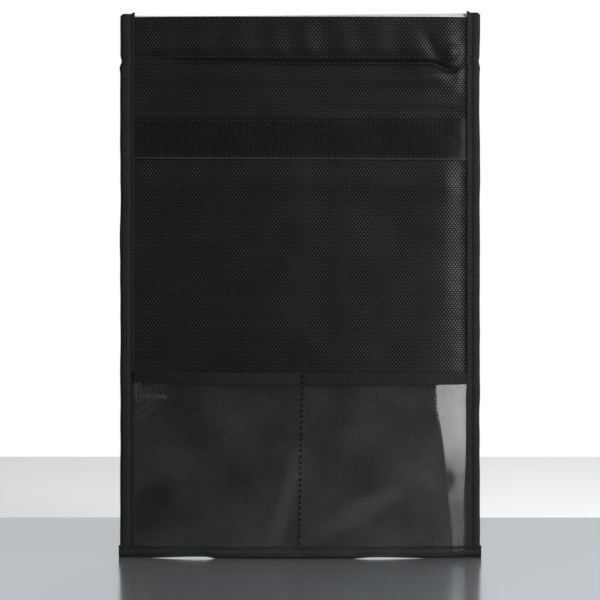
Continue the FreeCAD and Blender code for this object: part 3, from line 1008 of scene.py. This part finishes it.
def film_material():
    """Clear soft sheet with a soft gloss, which dust and handling have dulled near the bottom."""
    material, surface = shader("clear_film", (0.93, 0.95, 0.97), 0.0)
    surface.inputs["IOR"].default_value = 1.12
    surface.inputs["Transmission Weight"].default_value = 0.986
    surface.inputs["Coat IOR"].default_value = 1.46
    surface.inputs["Coat Roughness"].default_value = 0.10
    tree = material.node_tree
    do = sums(tree)
    cut = cut_place(tree)
    cloud = tree.nodes.new("ShaderNodeTexNoise")
    cloud.inputs["Scale"].default_value = 30
    cloud.inputs["Detail"].default_value = 3
    tree.links.new(cut, cloud.inputs["Vector"])
    split = tree.nodes.new("ShaderNodeSeparateXYZ")
    tree.links.new(cut, split.inputs[0])

    def reflection_streak(low, slope, width, centre, spread):
        """A mask along a line that rises by slope from low at the middle, over part of its run."""
        line = do("MULTIPLY_ADD", split.outputs["X"], slope, low)
        away = do("ABSOLUTE", do("SUBTRACT", split.outputs["Y"], line))
        near = do("MAXIMUM", do("SUBTRACT", 1, do("DIVIDE", away, width)), 0)
        past = do("ABSOLUTE", do("SUBTRACT", split.outputs["X"], centre))
        return do("MULTIPLY", near, do("MAXIMUM", do("SUBTRACT", 1, do("DIVIDE", past, spread)), 0))

    # The tint is paler towards the bottom and the right and along two streaks over the folds: painted
    # reflections, over a real cloudy haze from the noise.
    haze_and_reflection = do("ADD", cloud.outputs["Fac"], split.outputs["X"])
    haze_and_reflection = do("SUBTRACT", haze_and_reflection, do("MULTIPLY", split.outputs["Y"], 2.8))
    haze_and_reflection = do("ADD", haze_and_reflection, do("MULTIPLY", reflection_streak(0.054, 2.56, 0.022, -0.009, 0.014), 0.5))
    haze_and_reflection = do("ADD", haze_and_reflection, do("MULTIPLY", reflection_streak(0.010, 0.50, 0.009, 0.036, 0.036), 0.5))
    reflection_tint = ramp(tree, haze_and_reflection, ((0.12, (0.42, 0.45, 0.47)), (0.66, (0.95, 0.98, 1.0))))
    tree.links.new(reflection_tint, surface.inputs["Base Color"])
    height = do("MULTIPLY_ADD", cloud.outputs["Fac"], 0.030, split.outputs["Y"])
    clean = remap(tree, height, (0.045, 0.082), (0.12, 1.0))
    gloss = do("MULTIPLY", clean, do("MULTIPLY_ADD", cloud.outputs["Fac"], 0.5, 0.7))
    tree.links.new(gloss, surface.inputs["Coat Weight"])
    # Lamp light goes straight through, so that the cloth behind is lit.
    light_path = tree.nodes.new("ShaderNodeLightPath")
    clear = tree.nodes.new("ShaderNodeBsdfTransparent")
    clear.inputs["Color"].default_value = (0.86, 0.88, 0.90, 1)
    mix = tree.nodes.new("ShaderNodeMixShader")
    out = tree.nodes["Material Output"]
    tree.links.new(light_path.outputs["Is Shadow Ray"], mix.inputs[0])
    tree.links.new(surface.outputs[0], mix.inputs[1])
    tree.links.new(clear.outputs[0], mix.inputs[2])
    tree.links.new(mix.outputs[0], out.inputs["Surface"])
    return material


film = cut_sheet(
    "label_film",
    (FILM_LEFT - FILM_TUCK, FILM_RIGHT + FILM_TUCK),
    (FILM_LOW, FILM_HIGH),
    (0.0013, 0.0012),
    lambda x, z: Vector((x, film_face(x, z), z)),
)
thicken(film, FILM)
film.data.materials.append(film_material())
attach(film, "pouch")
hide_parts("label_pocket_film")

# A thin ribbed tape is folded over the top edge of the film.

low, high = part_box("pocket_edge_tape")
EDGE_LOW, EDGE_HIGH = low.z, high.z
EDGE_TAPE = 0.0004
EDGE_GAP = 0.00075
EDGE_TUCK = 0.0007


def edge_rise(x):
    """The tape climbs a little towards the left."""
    return 0.0010 * ease(-x, 0.02, 0.098)


def edge_tape_place(across, x):
    """Where a point of the tape lies, for a place across it and along it."""
    inward, sideways = fold_round(across, EDGE_GAP)
    middle = film_face(min(max(x, FILM_LEFT), FILM_RIGHT), EDGE_LOW) + FILM / 2
    edge = 0.0002 * soft(x, across, 0.01, 89) * ease(inward, 0.004, 0.007)
    return Vector((x, middle - sideways, EDGE_HIGH + edge_rise(x) - inward + edge))


half_edge = half_width(EDGE_HIGH - EDGE_LOW, EDGE_GAP)
edge_tape = cut_sheet(
    "pocket_tape",
    (-half_edge, half_edge),
    (FILM_LEFT - EDGE_TUCK, FILM_RIGHT + EDGE_TUCK),
    (0.0006, 0.0016),
    edge_tape_place,
)
thicken(edge_tape, EDGE_TAPE)
# Its light colour is the painted highlight on the rib crests.
edge_tape.data.materials.append(
    tape_material("pocket_tape", (0.0006, 0.0006, 0.0006), (0.0100, 0.0100, 0.0097))
)
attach(edge_tape, "pouch")
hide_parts("pocket_edge_tape")

# ---------------------------------------------------------------- stitching
# Every seam is sewn with one heavy black thread. Each stitch is a short plump float that dips
# into the cloth at both ends. Down the divider the stitches zigzag, sunk into the soft film, and
# their thread is a near-black copy of it, as painted shade.

THREAD = 0.00022
STITCH = 0.0026
MOUTH_ROW = 0.0027
STRIP_ROW = 0.0022
thread_material, surface = shader("thread", (0.016, 0.016, 0.0164), 0.5)
surface.inputs["Specular IOR Level"].default_value = 0.4
# Painted shade: the same thread, painted near black and dull for the stitches sunk into the film.
painted_shade_thread, surface = shader("thread_painted_shade", (0.0008, 0.0008, 0.0008), 0.8)
surface.inputs["Specular IOR Level"].default_value = 0.05


def stitch_line(name, point, start, end, body=None, blend=None, outward=-1, zigzag=0.0, sunk=False):
    """A row of stitches along point(t), a place on the cloth for each t from start to end.

    blend, when given, is called on the row, and otherwise the row rides on body. zigzag is each stitch's
    slant in radians, and a sunk row is wider and its thread painted near black, as painted shade.
    """
    bm = bmesh.new()
    count = max(int((end - start) / STITCH_PITCH), 1)
    for number in range(count):
        t = start + (number + 0.5) * (end - start) / count
        here, ahead = Vector(point(t)), Vector(point(t + 0.001))
        along = (ahead - here).normalized()
        turn = along.to_track_quat("X", "Y").to_matrix().to_4x4()
        slant = Matrix.Rotation(zigzag * (1 if number % 2 else -1), 4, "Y")
        size = Matrix.Diagonal((STITCH / 2, THREAD, THREAD * (2 if sunk else 1), 1))
        here.y += outward * THREAD * 0.5
        matrix = Matrix.Translation(here) @ slant @ turn @ size
        bmesh.ops.create_uvsphere(bm, u_segments=6, v_segments=4, radius=1, matrix=matrix)
    for face in bm.faces:
        face.smooth = True
    piece = from_bmesh(name, bm)
    piece.data.materials.append(painted_shade_thread if sunk else thread_material)
    if blend:
        blend(piece)
    else:
        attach(piece, body)
    return piece


def on_face(face, z_of, lift=0.0):
    """A row across a wall at height z_of(x), lifted off the cloth along y."""
    return lambda x: (x, face(x, z_of(x)) + lift, z_of(x))


width = (LEFT_EDGE, RIGHT_EDGE)
for word, height in (("high", FRONT_TOP - MOUTH_ROW), ("low", UPPER_FOLD + MOUTH_ROW)):
    row = on_face(front_face, lambda x: height)
    stitch_line(f"mouth_seam_{word}", row, *width, blend=across_upper_fold)
    row = on_face(back_face, lambda x: height, OUTER_OFFSET)
    stitch_line(f"closure_seam_{word}", row, *width, blend=across_upper_fold, outward=1)
for word, height in (("high", STRIP_HIGH - STRIP_ROW), ("low", STRIP_LOW + STRIP_ROW)):
    row = on_face(front_face, lambda x: strip_height(x, height), -LAYER_GAP - HOOK_TAPE)
    stitch_line(f"strip_seam_{word}", row, *width, blend=across_lower_fold)

for hand, word in ((-1, "left"), (1, "right")):
    free_edge = LEFT_EDGE if hand < 0 else RIGHT_EDGE
    lap = BINDING_EDGE - abs(free_edge)
    seam_x = free_edge + hand * BINDING_SEAM
    half_tape = half_width(lap, BINDING_FACE)
    for side, out in (("front", -1), ("back", 1)):
        across = out * hand * (half_tape - BINDING_SEAM)
        for part, span in (("lower", (BOTTOM_HIGH, SPLIT)), ("upper", (SPLIT, FRONT_TOP))):
            stitch_line(
                f"{word}_{side}_seam_{part}",
                lambda z: (
                    seam_x - hand * 0.0004 * soft(hand, z, 0.05, 37),
                    SEAM_Y + out * BINDING_FACE * tape_swell(across, z, lap - BINDING_SEAM, lap),
                    z,
                ),
                *span,
                blend=across_lower_fold if part == "lower" else across_upper_fold,
                outward=out,
            )
for side, out in (("front", -1), ("back", 1)):
    stitch_line(
        f"bottom_{side}_seam",
        lambda x: (x, seam_line(x) + out * (BOTTOM_GAP - 0.0003), BOTTOM_HIGH - BOTTOM_SEAM),
        -BOTTOM_HALF + 0.002,
        BOTTOM_HALF - 0.002,
        body="pouch",
        outward=out,
    )
stitch_line(
    "pocket_tape_seam",
    lambda x: (x, film_face(x, EDGE_LOW) - 0.0006, EDGE_LOW + 0.0017 + edge_rise(x)),
    FILM_LEFT + 0.001,
    FILM_RIGHT - 0.001,
    body="pouch",
)
divider_seam = stitch_line(
    "divider_seam",
    lambda z: (divider(z), film_face(divider(z), z) - (0.0006 if z > EDGE_LOW else 0), z),
    BOTTOM_HIGH + 0.001,
    EDGE_HIGH - 0.0005,
    body="pouch",
    zigzag=0.6,
    sunk=True,
)
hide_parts("divider_stitching")
